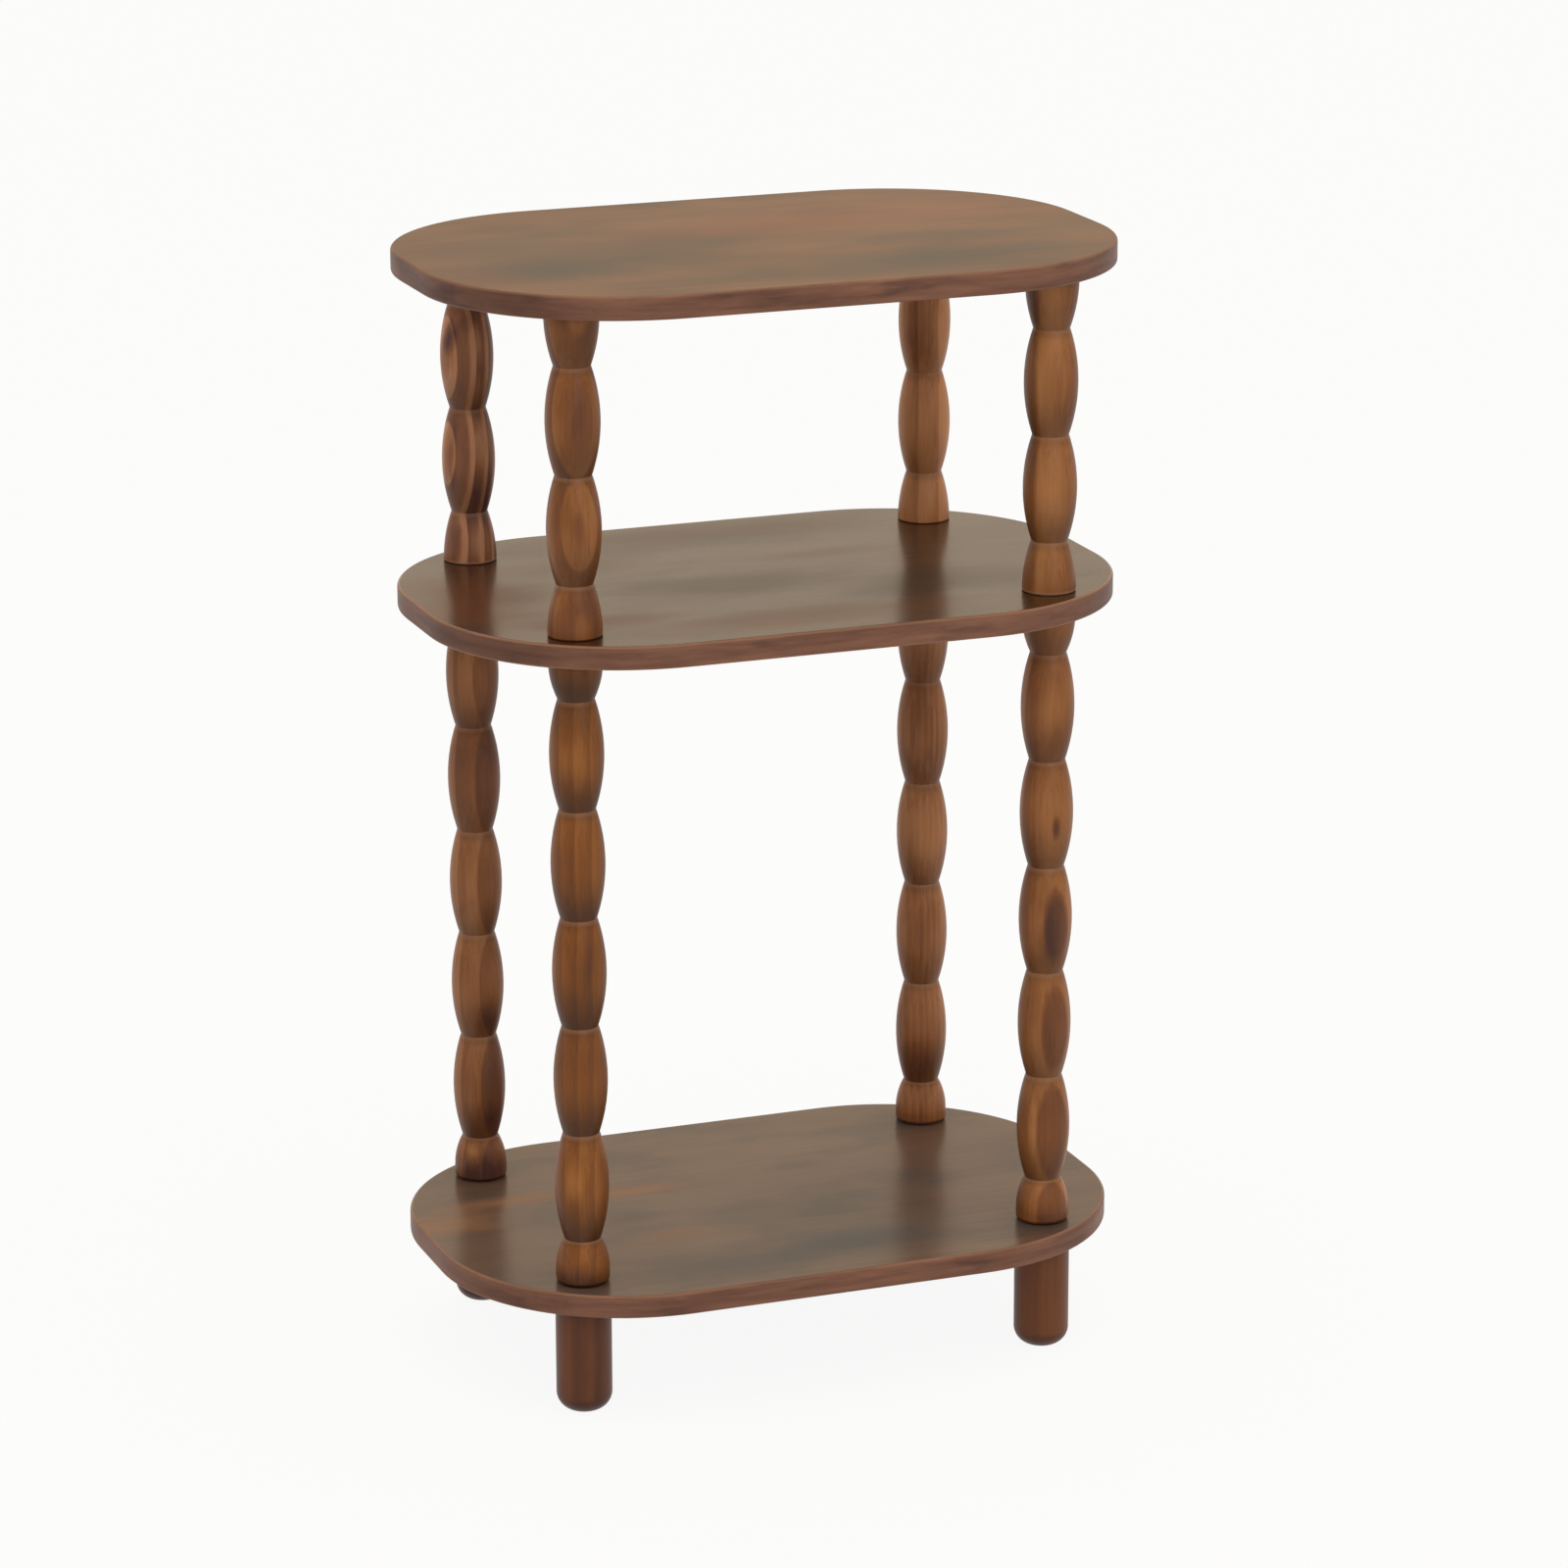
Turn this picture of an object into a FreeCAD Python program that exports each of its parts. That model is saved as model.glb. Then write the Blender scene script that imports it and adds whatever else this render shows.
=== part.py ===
import FreeCAD, Part
import os
import Sketcher

# Storage table: three stadium-cornered shelves held apart by bobbin-turned posts, on four plain feet.
# The origin is on the floor under the middle of the shelves, X along the shelves, Z up.

# Driving dimensions, in millimetres, except the two bead counts.
DIMENSIONS = {
    # Shelves
    "shelf_length": 450,
    "shelf_width": 300,
    "shelf_thickness": 15,
    "shelf_end_straight": 48,
    "shelf_edge_round": 2,
    # How far in from the shelves' ends and sides the posts' axes stand
    "post_inset_from_end": 68,
    "post_inset_from_side": 45.5,
    # Turned beads that both kinds of spindle share
    "bead_diameter": 34,
    "neck_diameter": 23,
    "rim_round": 1,
    # Upper spindles, between the top and middle shelves
    "upper_bead_count": 2,
    "upper_bead_length": 67.5,
    "upper_end_length": 32.5,
    # Lower spindles, between the middle and bottom shelves
    "lower_bead_count": 5,
    "lower_bead_length": 70,
    "lower_head_length": 25,
    "lower_base_length": 29,
    "lower_base_straight": 8,
    "lower_base_round": 3,
    # Feet
    "foot_length": 71,
    "foot_diameter": 35.5,
    "foot_round": 12,
    # Threaded studs that pull the stack together, threads as plain cylinders
    "stud_diameter": 8,
    "stud_grip_length": 27,
    "stud_clearance": 0.5,
    # Flanged insert nuts that the studs screw into
    "nut_length": 11,
    "nut_diameter": 12,
    "nut_flange_diameter": 16,
    "nut_flange_thickness": 1.5,
    "nut_thread_engagement": 9,
    "nut_hole_relief": 1,
}

# Two lengths that differ by less than this are the same.
SAME_LENGTH = 1e-6

# Corners of the post grid, seen from the front, which faces -Y.
POST_SIDES = {
    "front_left": (-1, -1),
    "front_right": (1, -1),
    "back_left": (-1, 1),
    "back_right": (1, 1),
}

document = FreeCAD.newDocument("storage_table")
sheet = document.addObject("Spreadsheet::Sheet", "Sizes")
for row, (alias, value) in enumerate(DIMENSIONS.items(), start=1):
    sheet.set(f"A{row}", alias)
    sheet.set(f"B{row}", str(value))
    sheet.setAlias(f"B{row}", alias)
document.recompute()

# Radii, spacings and levels that the driving dimensions give, as expressions on the sheet.
CORNER_RADIUS = "(Sizes.shelf_width - Sizes.shelf_end_straight) / 2"
POST_X = "(Sizes.shelf_length / 2 - Sizes.post_inset_from_end)"
POST_Y = "(Sizes.shelf_width / 2 - Sizes.post_inset_from_side)"
BEAD_RADIUS = "Sizes.bead_diameter / 2"
NECK_RADIUS = "Sizes.neck_diameter / 2"
FOOT_RADIUS = "Sizes.foot_diameter / 2"
STUD_RADIUS = "Sizes.stud_diameter / 2"
NUT_RADIUS = "Sizes.nut_diameter / 2"
FLANGE_RADIUS = "Sizes.nut_flange_diameter / 2"
SHELF_BORE_RADIUS = f"{STUD_RADIUS} + Sizes.stud_clearance"
NUT_HOLE_DEPTH = "(Sizes.nut_length + Sizes.nut_hole_relief)"
UPPER_LENGTH = "(2 * Sizes.upper_end_length + Sizes.upper_bead_count * Sizes.upper_bead_length)"
LOWER_LENGTH = (
    "(Sizes.lower_head_length + Sizes.lower_base_length"
    " + Sizes.lower_bead_count * Sizes.lower_bead_length)"
)
BOTTOM_SHELF_Z = "Sizes.foot_length"
LOWER_SPINDLE_Z = f"{BOTTOM_SHELF_Z} + Sizes.shelf_thickness"
MIDDLE_SHELF_Z = f"{LOWER_SPINDLE_Z} + {LOWER_LENGTH}"
UPPER_SPINDLE_Z = f"{MIDDLE_SHELF_Z} + Sizes.shelf_thickness"
TOP_SHELF_Z = f"{UPPER_SPINDLE_Z} + {UPPER_LENGTH}"


def amount(expression):
    """Value of an expression on the sheet."""
    return float(sheet.evalExpression(expression))


def post_place(sides):
    """Expressions for a post's place in plan."""
    return f"{sides[0]} * {POST_X}", f"{sides[1]} * {POST_Y}"


def place(piece, x, y, z):
    """Bind a piece's position to the sheet."""
    piece.setExpression("Placement.Base.x", x)
    piece.setExpression("Placement.Base.y", y)
    piece.setExpression("Placement.Base.z", z)


def new_sketch(body, name, role):
    """Sketch on one of the body's own origin planes."""
    sketch = body.newObject("Sketcher::SketchObject", name)
    plane = next(item for item in body.Origin.OriginFeatures if item.Role == role)
    sketch.AttachmentSupport = [(plane, "")]
    sketch.MapMode = "FlatFace"
    return sketch


def bind_constraint(sketch, name, expression, kind, *where):
    """Add a dimensional constraint and tie it to the sheet."""
    index = sketch.addConstraint(Sketcher.Constraint(kind, *where, amount(expression)))
    sketch.renameConstraint(index, name)
    sketch.setExpression(f"Constraints.{name}", expression)


def bind_point(sketch, name, element, end, x, y):
    """Fix a point by expressions: a zero puts it on an axis, a leading minus measures backwards."""
    for axis, expression, line in (("X", x, -2), ("Y", y, -1)):
        if expression == "0":
            sketch.addConstraint(Sketcher.Constraint("PointOnObject", element, end, line))
            continue
        where = (-1, 1, element, end)
        if expression.startswith("-"):
            where = (element, end, -1, 1)
            expression = expression[1:]
        bind_constraint(sketch, f"{name}_{axis.lower()}", expression, f"Distance{axis}", *where)


def arc_between(start, end, radius):
    """Short arc from start to end that bulges to the right of the way from start to end."""
    chord = end - start
    half = chord.Length / 2
    inward = FreeCAD.Vector(-chord.y, chord.x, 0).normalize()
    centre = start + chord * 0.5 + inward * (radius * radius - half * half) ** 0.5
    middle = centre - inward * radius
    return Part.Arc(start, middle, end)


def half_section(body, name, corners, arcs):
    """Closed half section in the XZ plane: corners as (radius, height), some sides as arcs."""
    sketch = new_sketch(body, name, "XZ_Plane")
    points = [FreeCAD.Vector(amount(radius), amount(height), 0) for radius, height in corners]
    for index, start in enumerate(points):
        end = points[(index + 1) % len(points)]
        if index in arcs:
            sketch.addGeometry(arc_between(start, end, amount(arcs[index])))
        else:
            sketch.addGeometry(Part.LineSegment(start, end))
    for index, (radius, height) in enumerate(corners):
        sketch.addConstraint(
            Sketcher.Constraint("Coincident", index, 2, (index + 1) % len(corners), 1)
        )
        bind_point(sketch, f"corner_{index}", index, 1, radius, height)
    for index, radius in arcs.items():
        bind_constraint(sketch, f"arc_{index}", radius, "Radius", index)
    return sketch


def turn(body, kind, name, sketch):
    """Revolution or Groove of a half section about the body's Z axis."""
    feature = body.newObject(f"PartDesign::{kind}", name)
    feature.Profile = sketch
    axis = next(item for item in body.Origin.OriginFeatures if item.Role == "Z_Axis")
    feature.ReferenceAxis = (axis, [""])
    feature.Angle = 360
    document.recompute()
    return feature


def round_edges(body, name, base, size, chosen):
    """Fillet the edges of base that the test picks."""
    names = [f"Edge{i}" for i, edge in enumerate(base.Shape.Edges, start=1) if chosen(edge)]
    feature = body.newObject("PartDesign::Fillet", name)
    feature.Base = (base, names)
    feature.Radius = amount(size)
    feature.setExpression("Radius", size)
    document.recompute()
    return feature


def is_rim(edge, radius, height):
    """True for a level circle of that radius at that height."""
    if not isinstance(edge.Curve, Part.Circle):
        return False
    level = edge.BoundBox.ZLength < SAME_LENGTH
    at_height = abs(edge.BoundBox.ZMin - height) < SAME_LENGTH
    return level and at_height and abs(edge.Curve.Radius - radius) < SAME_LENGTH


def bore(body, name, corners):
    """Cut a turned hole from its half section."""
    return turn(body, "Groove", name, half_section(body, f"{name}_section", corners, {}))


def stud_bore_corners(mouth, bottom):
    """Half section of the hole that a stud's wood thread fills."""
    return [("0", mouth), (STUD_RADIUS, mouth), (STUD_RADIUS, bottom), ("0", bottom)]


def nut_bore_corners(height):
    """Half section of the stepped hole of an insert nut that is driven down from a top face."""
    step = f"{height} - Sizes.nut_flange_thickness"
    floor = f"{height} - {NUT_HOLE_DEPTH}"
    return [
        ("0", floor),
        (NUT_RADIUS, floor),
        (NUT_RADIUS, step),
        (FLANGE_RADIUS, step),
        (FLANGE_RADIUS, height),
        ("0", height),
    ]


def bead_arc_radius(half_length):
    """Radius of the turned arc that swells from a neck to the full bead over half a bead."""
    swell = f"({BEAD_RADIUS} - {NECK_RADIUS})"
    return f"(({half_length})^2 + {swell}^2) / (2 * {swell})"


def spindle_section(body, base_straight, base_length, bead_length, bead_count, head_length, total):
    """Half section of a bobbin-turned spindle: half a bead, whole beads, half a bead."""
    corners = [("0", "0"), (BEAD_RADIUS, "0")]
    if base_straight != "0":
        corners.append((BEAD_RADIUS, base_straight))
    arcs = {len(corners) - 1: bead_arc_radius(f"{base_length} - {base_straight}")}
    for bead in range(bead_count + 1):
        arcs[len(corners)] = bead_arc_radius(f"{bead_length} / 2")
        corners.append((NECK_RADIUS, f"{base_length} + {bead} * {bead_length}"))
    arcs[len(corners) - 1] = bead_arc_radius(head_length)
    corners.append((BEAD_RADIUS, total))
    corners.append(("0", total))
    return half_section(body, "turning_section", corners, arcs)


def upper_spindle(corner, sides):
    """Upper spindle, with a stud hole in each end."""
    body = document.addObject("PartDesign::Body", f"{corner}_upper_spindle")
    section = spindle_section(
        body,
        "0",
        "Sizes.upper_end_length",
        "Sizes.upper_bead_length",
        int(amount("Sizes.upper_bead_count")),
        "Sizes.upper_end_length",
        UPPER_LENGTH,
    )
    turned = turn(body, "Revolution", "turning", section)
    radius = amount(BEAD_RADIUS)
    ends = (0, amount(UPPER_LENGTH))
    round_edges(
        body,
        "end_rims",
        turned,
        "Sizes.rim_round",
        lambda edge: any(is_rim(edge, radius, end) for end in ends),
    )
    bore(body, "base_stud_hole", stud_bore_corners("0", "Sizes.stud_grip_length"))
    grip_end = f"{UPPER_LENGTH} - Sizes.stud_grip_length"
    bore(body, "head_stud_hole", stud_bore_corners(grip_end, UPPER_LENGTH))
    place(body, *post_place(sides), UPPER_SPINDLE_Z)
    return body


def lower_spindle(corner, sides):
    """Lower spindle, with an insert nut hole in its head and a stud hole in its base."""
    body = document.addObject("PartDesign::Body", f"{corner}_lower_spindle")
    section = spindle_section(
        body,
        "Sizes.lower_base_straight",
        "Sizes.lower_base_length",
        "Sizes.lower_bead_length",
        int(amount("Sizes.lower_bead_count")),
        "Sizes.lower_head_length",
        LOWER_LENGTH,
    )
    turned = turn(body, "Revolution", "turning", section)
    radius = amount(BEAD_RADIUS)
    top = amount(LOWER_LENGTH)
    head = round_edges(
        body, "head_rim", turned, "Sizes.rim_round", lambda edge: is_rim(edge, radius, top)
    )
    round_edges(
        body, "base_rim", head, "Sizes.lower_base_round", lambda edge: is_rim(edge, radius, 0)
    )
    bore(body, "base_stud_hole", stud_bore_corners("0", "Sizes.stud_grip_length"))
    bore(body, "head_nut_hole", nut_bore_corners(LOWER_LENGTH))
    place(body, *post_place(sides), LOWER_SPINDLE_Z)
    return body


def foot(corner, sides):
    """Plain round foot with a well rounded lower end and an insert nut hole in its top."""
    body = document.addObject("PartDesign::Body", f"{corner}_foot")
    corners = [
        ("0", "0"),
        (FOOT_RADIUS, "0"),
        (FOOT_RADIUS, "Sizes.foot_length"),
        ("0", "Sizes.foot_length"),
    ]
    turned = turn(body, "Revolution", "turning", half_section(body, "turning_section", corners, {}))
    radius = amount(FOOT_RADIUS)
    round_edges(body, "floor_rim", turned, "Sizes.foot_round", lambda edge: is_rim(edge, radius, 0))
    bore(body, "head_nut_hole", nut_bore_corners("Sizes.foot_length"))
    place(body, *post_place(sides), "0")
    return body


def shelf_outline(body):
    """Rounded rectangle of a shelf, centred on the origin, drawn counterclockwise."""
    sketch = new_sketch(body, "outline", "XY_Plane")
    half_length = amount("Sizes.shelf_length") / 2
    half_width = amount("Sizes.shelf_width") / 2
    radius = amount(CORNER_RADIUS)
    diagonal = radius * 0.5 ** 0.5
    for side_x, side_y in ((1, 1), (-1, 1), (-1, -1), (1, -1)):
        centre = FreeCAD.Vector(side_x * (half_length - radius), side_y * (half_width - radius), 0)
        along = centre + FreeCAD.Vector(side_x * radius, 0, 0)
        across = centre + FreeCAD.Vector(0, side_y * radius, 0)
        middle = centre + FreeCAD.Vector(side_x * diagonal, side_y * diagonal, 0)
        ends = (along, across) if side_x * side_y > 0 else (across, along)
        sketch.addGeometry(Part.Arc(ends[0], middle, ends[1]))
    for index in range(4):
        following = (index + 1) % 4
        start = sketch.Geometry[index].EndPoint
        end = sketch.Geometry[following].StartPoint
        line = sketch.addGeometry(Part.LineSegment(start, end))
        sketch.addConstraint(Sketcher.Constraint("Tangent", index, 2, line, 1))
        sketch.addConstraint(Sketcher.Constraint("Tangent", line, 2, following, 1))
        level = "Horizontal" if index % 2 == 0 else "Vertical"
        sketch.addConstraint(Sketcher.Constraint(level, line))
        if index > 0:
            sketch.addConstraint(Sketcher.Constraint("Equal", 0, index))
    bind_constraint(sketch, "corner_radius", CORNER_RADIUS, "Radius", 0)
    sketch.addConstraint(Sketcher.Constraint("Symmetric", 0, 2, 2, 2, -1, 1))
    bind_constraint(sketch, "length", "Sizes.shelf_length", "DistanceX", 5, 1, 7, 1)
    bind_constraint(sketch, "width", "Sizes.shelf_width", "DistanceY", 6, 1, 4, 1)
    return sketch


def cut_post_holes(body, name, radius, depth):
    """Four round holes, one over each post, cut upwards from the underside."""
    sketch = new_sketch(body, f"{name}_circles", "XY_Plane")
    for index, (corner, sides) in enumerate(POST_SIDES.items()):
        centre = FreeCAD.Vector(*[amount(expression) for expression in post_place(sides)], 0)
        sketch.addGeometry(Part.Circle(centre, FreeCAD.Vector(0, 0, 1), amount(radius)))
        signs = ["-" if side < 0 else "" for side in sides]
        bind_point(sketch, corner, index, 3, signs[0] + POST_X, signs[1] + POST_Y)
        bind_constraint(sketch, f"{corner}_radius", radius, "Radius", index)
    pocket = body.newObject("PartDesign::Pocket", name)
    pocket.Profile = sketch
    pocket.Reversed = True
    pocket.Length = amount(depth)
    pocket.setExpression("Length", depth)
    document.recompute()
    return pocket


def shelf_blank(label, height):
    """Shelf with eased edges and no holes."""
    body = document.addObject("PartDesign::Body", label)
    pad = body.newObject("PartDesign::Pad", "board")
    pad.Profile = shelf_outline(body)
    pad.Length = amount("Sizes.shelf_thickness")
    pad.setExpression("Length", "Sizes.shelf_thickness")
    document.recompute()
    round_edges(
        body,
        "eased_edges",
        pad,
        "Sizes.shelf_edge_round",
        lambda edge: edge.BoundBox.ZLength < amount("Sizes.shelf_thickness") / 2,
    )
    place(body, "0", "0", height)
    return body


def top_shelf():
    """Top shelf: whole on top, with four blind stepped holes for insert nuts underneath."""
    body = shelf_blank("top_shelf", TOP_SHELF_Z)
    cut_post_holes(body, "nut_holes", NUT_RADIUS, NUT_HOLE_DEPTH)
    cut_post_holes(body, "flange_recesses", FLANGE_RADIUS, "Sizes.nut_flange_thickness")
    return body


def pierced_shelf(label, height):
    """Middle or bottom shelf, with four clearance holes for the studs."""
    body = shelf_blank(label, height)
    cut_post_holes(body, "stud_holes", SHELF_BORE_RADIUS, "Sizes.shelf_thickness")
    return body


def cylinder(name, radius, length, x, y, z):
    """Upright cylinder bound to the sheet."""
    piece = document.addObject("Part::Cylinder", name)
    piece.setExpression("Radius", radius)
    piece.setExpression("Height", length)
    place(piece, x, y, z)
    return piece


def stud(name, x, y, low, high):
    """Plain rod between two levels."""
    return cylinder(name, STUD_RADIUS, f"({high}) - ({low})", x, y, low)


def insert_nut(name, x, y, face, facing):
    """Flanged insert nut, flush with the face it is driven into; facing is 1 up, -1 down."""
    barrel_z = f"{face} - Sizes.nut_length" if facing > 0 else face
    flange_z = f"{face} - Sizes.nut_flange_thickness" if facing > 0 else face
    barrel = cylinder(f"{name}_barrel", NUT_RADIUS, "Sizes.nut_length", x, y, barrel_z)
    flange = cylinder(
        f"{name}_flange", FLANGE_RADIUS, "Sizes.nut_flange_thickness", x, y, flange_z
    )
    body = document.addObject("Part::Fuse", f"{name}_body")
    body.Base = barrel
    body.Tool = flange
    thread = cylinder(f"{name}_thread", STUD_RADIUS, "Sizes.nut_length", x, y, barrel_z)
    nut = document.addObject("Part::Cut", name)
    nut.Base = body
    nut.Tool = thread
    return nut


def one_per_post(label, make):
    """Group of four separate solids, one at each post."""
    group = document.addObject("Part::Compound", label)
    group.Links = [
        make(f"{label}_{corner}", *post_place(sides)) for corner, sides in POST_SIDES.items()
    ]
    return group


def joint_studs(label, low, high):
    """Four studs that end at the same two levels."""
    return one_per_post(label, lambda name, x, y: stud(name, x, y, low, high))


def insert_nuts(label, face, facing):
    """Four insert nuts, flush with one level."""
    return one_per_post(label, lambda name, x, y: insert_nut(name, x, y, face, facing))


def hardware():
    """Studs and insert nuts of the three joint levels."""
    grip = "Sizes.stud_grip_length"
    engagement = "Sizes.nut_thread_engagement"
    return [
        insert_nuts("top_insert_nuts", TOP_SHELF_Z, -1),
        joint_studs("top_joint_studs", f"{TOP_SHELF_Z} - {grip}", f"{TOP_SHELF_Z} + {engagement}"),
        joint_studs(
            "middle_joint_studs", f"{MIDDLE_SHELF_Z} - {engagement}", f"{UPPER_SPINDLE_Z} + {grip}"
        ),
        insert_nuts("middle_insert_nuts", MIDDLE_SHELF_Z, 1),
        joint_studs(
            "bottom_joint_studs", f"{BOTTOM_SHELF_Z} - {engagement}", f"{LOWER_SPINDLE_Z} + {grip}"
        ),
        insert_nuts("bottom_insert_nuts", BOTTOM_SHELF_Z, 1),
    ]


def check_document():
    """Stop if a feature failed or a cut removed nothing."""
    for item in document.Objects:
        if "Invalid" in item.State or "Error" in item.State:
            raise RuntimeError(f"{item.Name} failed: {item.State}")
        if item.TypeId in ("PartDesign::Pocket", "PartDesign::Groove"):
            if not item.Shape.Volume < item.BaseFeature.Shape.Volume:
                raise RuntimeError(f"{item.Name} cuts nothing")


def write_parts(pieces):
    """Write each piece to a STEP file named after its label."""
    os.makedirs("parts", exist_ok=True)
    for piece in pieces:
        if piece.Shape.isNull() or not piece.Shape.isValid():
            raise RuntimeError(f"{piece.Label} has no sound shape")
    for piece in pieces:
        piece.Shape.exportStep(f"parts/{piece.Label}.step")
        print(piece.Label, len(piece.Shape.Solids), "solids,", round(piece.Shape.Volume), "mm3")


pieces = [
    top_shelf(),
    pierced_shelf("middle_shelf", MIDDLE_SHELF_Z),
    pierced_shelf("bottom_shelf", BOTTOM_SHELF_Z),
]
for corner, sides in POST_SIDES.items():
    pieces.append(upper_spindle(corner, sides))
    pieces.append(lower_spindle(corner, sides))
    pieces.append(foot(corner, sides))
pieces.extend(hardware())
document.recompute()
check_document()
write_parts(pieces)
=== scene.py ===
import math

import bpy
from mathutils import Matrix, Vector


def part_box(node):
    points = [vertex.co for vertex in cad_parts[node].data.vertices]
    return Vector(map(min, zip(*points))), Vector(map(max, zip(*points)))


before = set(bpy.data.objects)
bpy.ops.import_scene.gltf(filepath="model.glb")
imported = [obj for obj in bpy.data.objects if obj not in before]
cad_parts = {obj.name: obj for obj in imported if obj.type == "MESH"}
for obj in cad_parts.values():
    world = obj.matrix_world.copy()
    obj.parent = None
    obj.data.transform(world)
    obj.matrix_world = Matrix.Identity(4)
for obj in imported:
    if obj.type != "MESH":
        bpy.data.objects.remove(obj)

bl_info = {
    "name": "Storage table",
    "version": (1, 0, 0),
    "blender": (4, 5, 0),
    "location": "View3D > Sidebar > Storage table",
    "description": "Stained wood finishes and studio for a table of three shelves on bobbin-turned posts",
    "category": "Object",
}

# Posts, as seen from the front, which faces -Y.
POSTS = ("front_left", "front_right", "back_left", "back_right")

# Seed of the noises in the first piece of each kind, and the step to the next piece.
FIRST_SEED = {
    "shelf": 1.0, "upper_spindle": 20.0, "lower_spindle": 40.0, "foot": 60.0, "stud": 80.0, "nut": 85.0,
}
SHELF_SEED_STEP = 3.0
POST_SEED_STEP = 2.0

# What each noise adds to its piece's seed, and what the rings' tones multiply it by.
PORE_SEED = 7.3
CLOUD_SEED = 11.0
STREAK_SEED = 17.0
LINE_SEED = 2.0
MOTTLE_SEED = 4.0
EDGE_SEED = 5.0
FLECK_SEED = 6.0
RING_TONE_SEED = 3.7

# How the tree's rings lie in each turned piece, and how strongly they show. Angles are in degrees and
# lengths in millimetres. The tree's heart lies at an angle and a distance from the piece's axis, where the
# rings have their phase. Lean and sweep are how far the heart drifts away per length upwards, and faster
# further up, and waver is how far the rings stray. Edge is the share of a ring in which it turns light
# again, fall is how quickly it darkens, and flat is how long it stays light first. Rings and streaks are
# how strongly these show. Tint moves the figure towards the light wood, warmth takes blue and some green
# from it, and gain brightens it. Pool is how much painted shade, with some gathered stain, darkens the
# beads' undersides, and rim is how much a painted highlight lightens the lower rim.
RING_DEFAULTS = {
    "lean": 0.0,
    "sweep": 0.0,
    "waver": 0.6,
    "edge": 0.1,
    "fall": 1.0,
    "flat": 0.0,
    "rings": 0.25,
    "streaks": 0.3,
    "tint": 0.0,
    "warmth": 0.0,
    "gain": 1.0,
    "pooled_shade_share": 1.0,
    "rim": 0.0,
}
RING_LAYOUT = {
    "front_left_upper_spindle": {
        "angle": 84, "distance": 90, "spacing": 9.0, "phase": 0.1, "lean": 0.05, "edge": 0.15, "rings": 0.24,
    },
    "front_right_upper_spindle": {
        "angle": 159, "distance": 60, "spacing": 26.0, "phase": 0.18, "waver": 1.0, "edge": 0.22, "rings": 0.4,
        "tint": 0.2, "rim": 0.6,
    },
    "back_left_upper_spindle": {
        "angle": 10, "distance": 60, "spacing": 9.5, "phase": 0.84, "lean": 0.101, "sweep": -0.365,
        "edge": 0.08, "fall": 5.0, "flat": 0.3, "rings": 0.56, "tint": 0.12, "warmth": -1.25, "gain": 1.28,
        "rim": 0.6,
    },
    "back_right_upper_spindle": {
        "angle": 159, "distance": 120, "spacing": 13.0, "phase": 0.177, "waver": 1.0, "edge": 0.15,
        "rings": 0.26, "streaks": 0.36, "tint": 0.3, "warmth": -0.55, "gain": 1.4, "pooled_shade_share": 0.6,
    },
    "front_left_lower_spindle": {
        "angle": 159, "distance": 100, "spacing": 9.5, "phase": 0.943, "rings": 0.16, "streaks": 0.2,
        "tint": -0.04, "warmth": 0.55, "gain": 0.97, "pooled_shade_share": 1.5,
    },
    "front_right_lower_spindle": {
        "angle": -86, "distance": 70, "spacing": 20.0, "phase": 0.535, "sweep": 0.07, "waver": 1.3,
        "edge": 0.12, "rings": 0.3, "streaks": 0.25, "tint": 0.06,
    },
    "back_left_lower_spindle": {
        "angle": -59, "distance": 150, "spacing": 14.0, "phase": 0.764, "waver": 0.8, "rings": 0.22,
        "tint": 0.09, "warmth": -0.42,
    },
    "back_right_lower_spindle": {
        "angle": -15, "distance": 90, "spacing": 4.2, "phase": 0.6, "lean": 0.01, "edge": 0.3, "rings": 0.1,
        "streaks": 0.36, "tint": 0.14, "warmth": -0.48, "gain": 1.1,
    },
    "front_left_foot": {"angle": -30, "distance": 60, "spacing": 14.0, "phase": 0.4, "edge": 0.3},
    "front_right_foot": {
        "angle": 150, "distance": 60, "spacing": 16.0, "phase": 0.6, "edge": 0.3, "tint": 0.32,
    },
    "back_left_foot": {"angle": 60, "distance": 60, "spacing": 12.0, "phase": 0.2, "edge": 0.3},
    "back_right_foot": {"angle": 100, "distance": 60, "spacing": 15.0, "phase": 0.8, "edge": 0.3, "tint": 0.05},
}
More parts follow.
